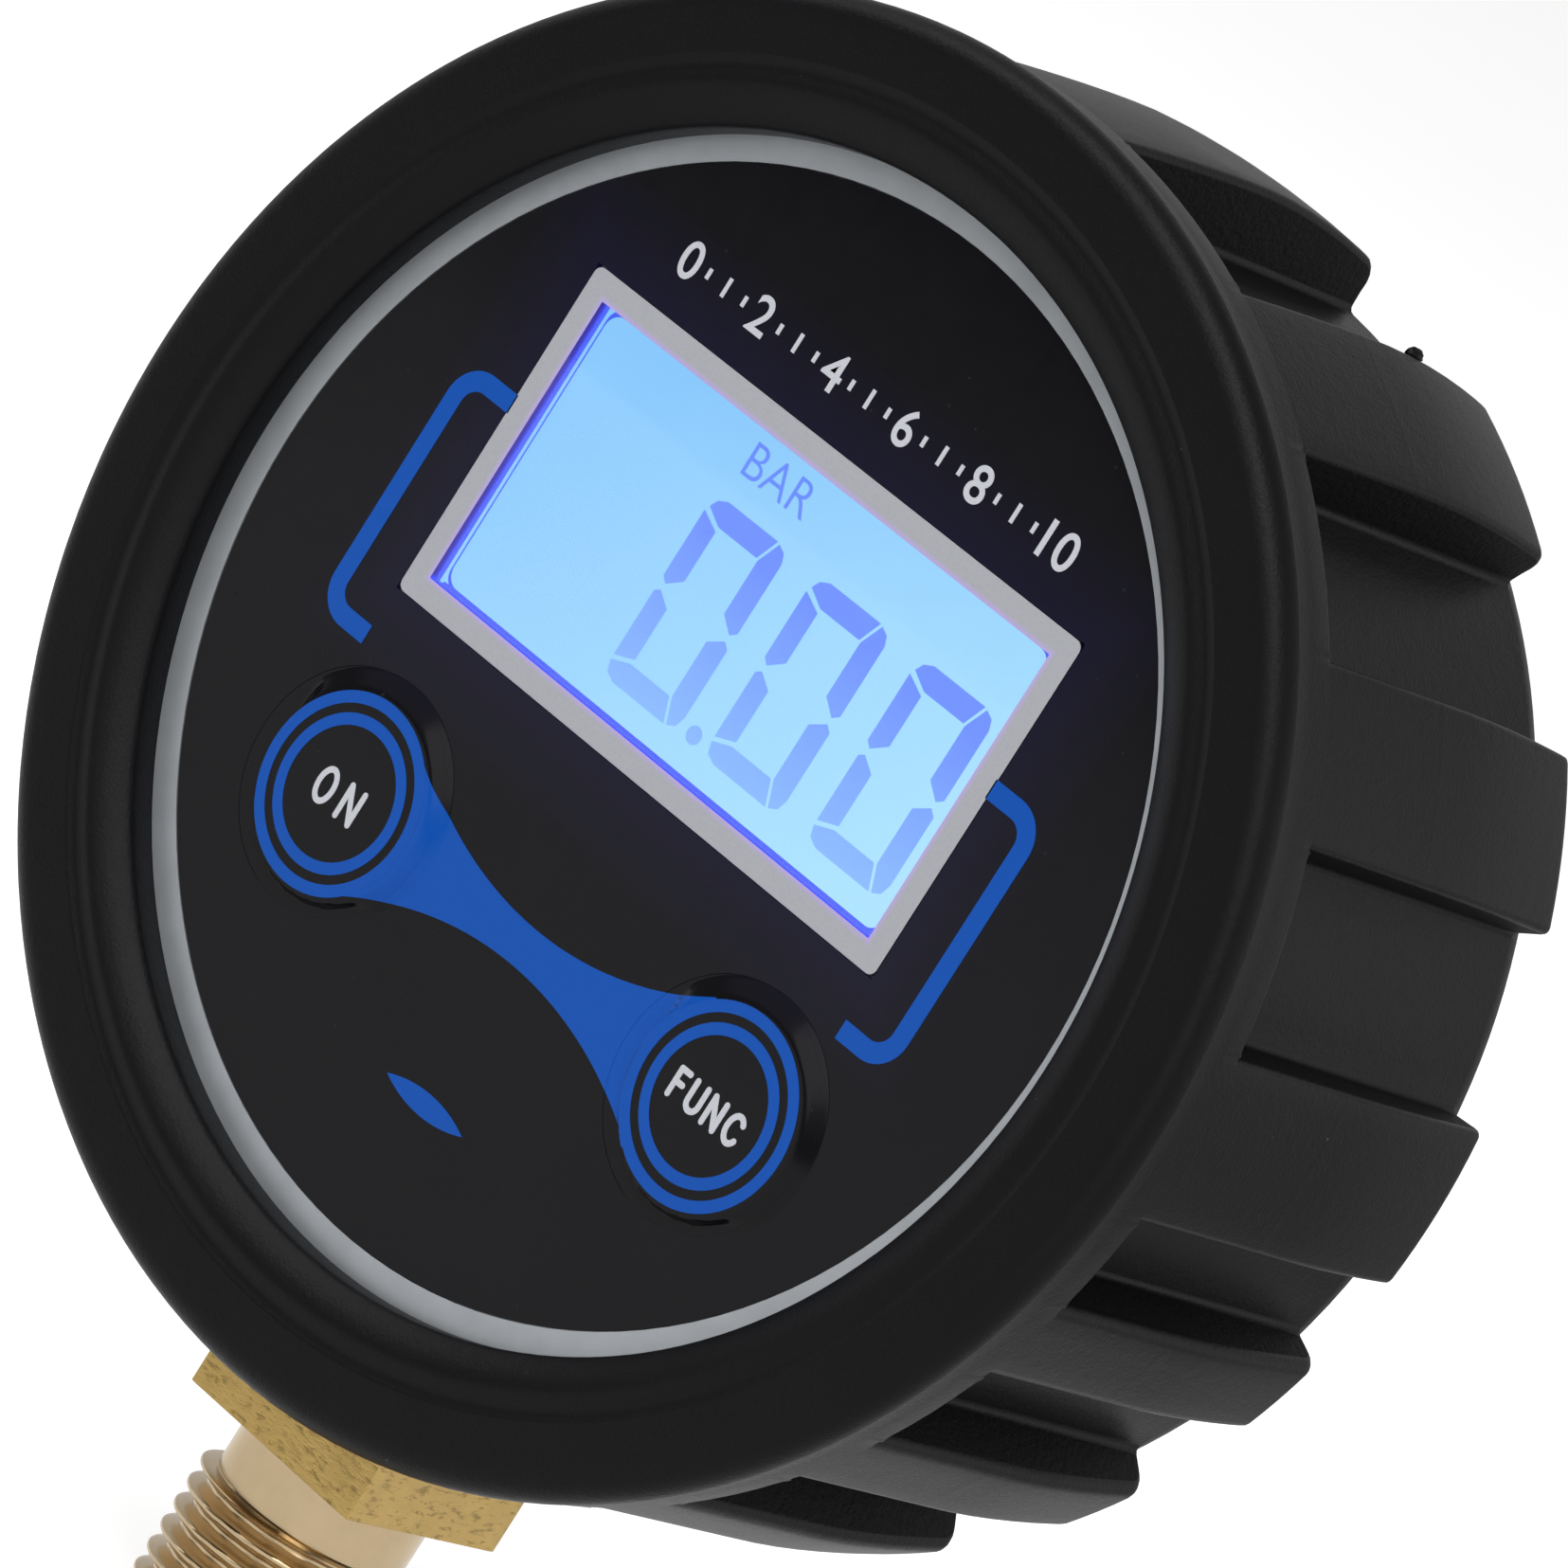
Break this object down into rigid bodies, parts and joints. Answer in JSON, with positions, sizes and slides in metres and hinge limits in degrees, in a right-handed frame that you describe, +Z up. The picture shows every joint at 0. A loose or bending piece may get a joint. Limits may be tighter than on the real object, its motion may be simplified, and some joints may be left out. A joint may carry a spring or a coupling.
{
  "type": "digital pressure gauge",
  "caption": "Digital pressure gauge in a black rubber boot, with a backlit display, push buttons and a brass threaded stem below.",
  "frame": {"origin": "on the stem's axis, where the connection thread meets the neck", "axes": "+Z up the stem's axis to the dial, the dial faces -Y, +X to the right of the dial seen from the front"},
  "size_m": [0.0778, 0.0327, 0.0954],
  "materials": {
    "boot_rubber": "satin moulded, fine grain",
    "silver_case": "satin silver",
    "black_face": "gloss black film",
    "clear_window": "clear, gloss",
    "switch_plastic": "moulded",
    "switch_plunger": "moulded",
    "lcd_glass": "lit blue display",
    "white_plastic": "moulded",
    "light_guide": "clear acrylic",
    "led_blue": "moulded",
    "zebra_rubber": "soft",
    "board_green": "solder resist over glass fibre",
    "chip_black": "moulded",
    "contact_steel": "tin plated",
    "capacitor_tan": "fired",
    "ribbon_amber": "polyimide film",
    "screw_steel": "zinc plated",
    "brass": "cast flats, turned neck and thread",
    "seal_rubber": "soft",
    "sensor_ceramic": "fired",
    "black_plastic": "fine spark texture",
    "cell_jacket": "gloss sleeve"
  },
  "bodies": {
    "gauge": {"rubber_boot": "boot_rubber", "case_body": "silver_case", "face_overlay": "black_face", "lcd_window": "clear_window", "switch_on": "switch_plastic", "switch_func": "switch_plastic", "lcd_glass": "lcd_glass", "lcd_holder": "white_plastic", "light_guide": "light_guide", "reflector_film": "white_plastic", "backlight_leds": "led_blue", "zebra_strip_upper": "zebra_rubber", "zebra_strip_lower": "zebra_rubber", "main_board": "board_green", "microcontroller": "chip_black", "sensor_amplifier": "chip_black", "clock_crystal": "contact_steel", "capacitors": "capacitor_tan", "sensor_connector": "white_plastic", "sensor_ribbon": "ribbon_amber", "board_screws": "screw_steel", "brass_stem": "brass", "stem_gasket": "seal_rubber", "stem_circlip": "screw_steel", "sensor_o_ring": "seal_rubber", "pressure_sensor": "sensor_ceramic", "sensor_retaining_ring": "brass", "rear_cover": "black_plastic", "rear_cover_seal": "seal_rubber", "rear_cover_screws": "screw_steel", "breather_plug": "seal_rubber", "battery_door_seal": "seal_rubber", "battery_cell_upper": "cell_jacket", "battery_cell_lower": "cell_jacket", "battery_bridge": "contact_steel", "battery_contact_positive": "contact_steel", "battery_contact_negative": "contact_steel"},
    "button_on": {"button_on": "black_face", "plunger_on": "switch_plunger"},
    "button_func": {"button_func": "black_face", "plunger_func": "switch_plunger"},
    "battery_door": {"battery_door": "black_plastic", "battery_door_screws": "screw_steel"}
  },
  "joints": [
    {"name": "button_on_press", "type": "slide", "parent": "gauge", "child": "button_on", "axis": [0, 1, 0], "range_m": [0, 0.00035], "stiffness_N_per_m": 3000},
    {"name": "button_func_press", "type": "slide", "parent": "gauge", "child": "button_func", "axis": [0, 1, 0], "range_m": [0, 0.00035], "stiffness_N_per_m": 3000},
    {"name": "battery_door_lift", "type": "slide", "parent": "gauge", "child": "battery_door", "axis": [0, 1, 0], "range_m": [0, 0.012]}
  ]
}
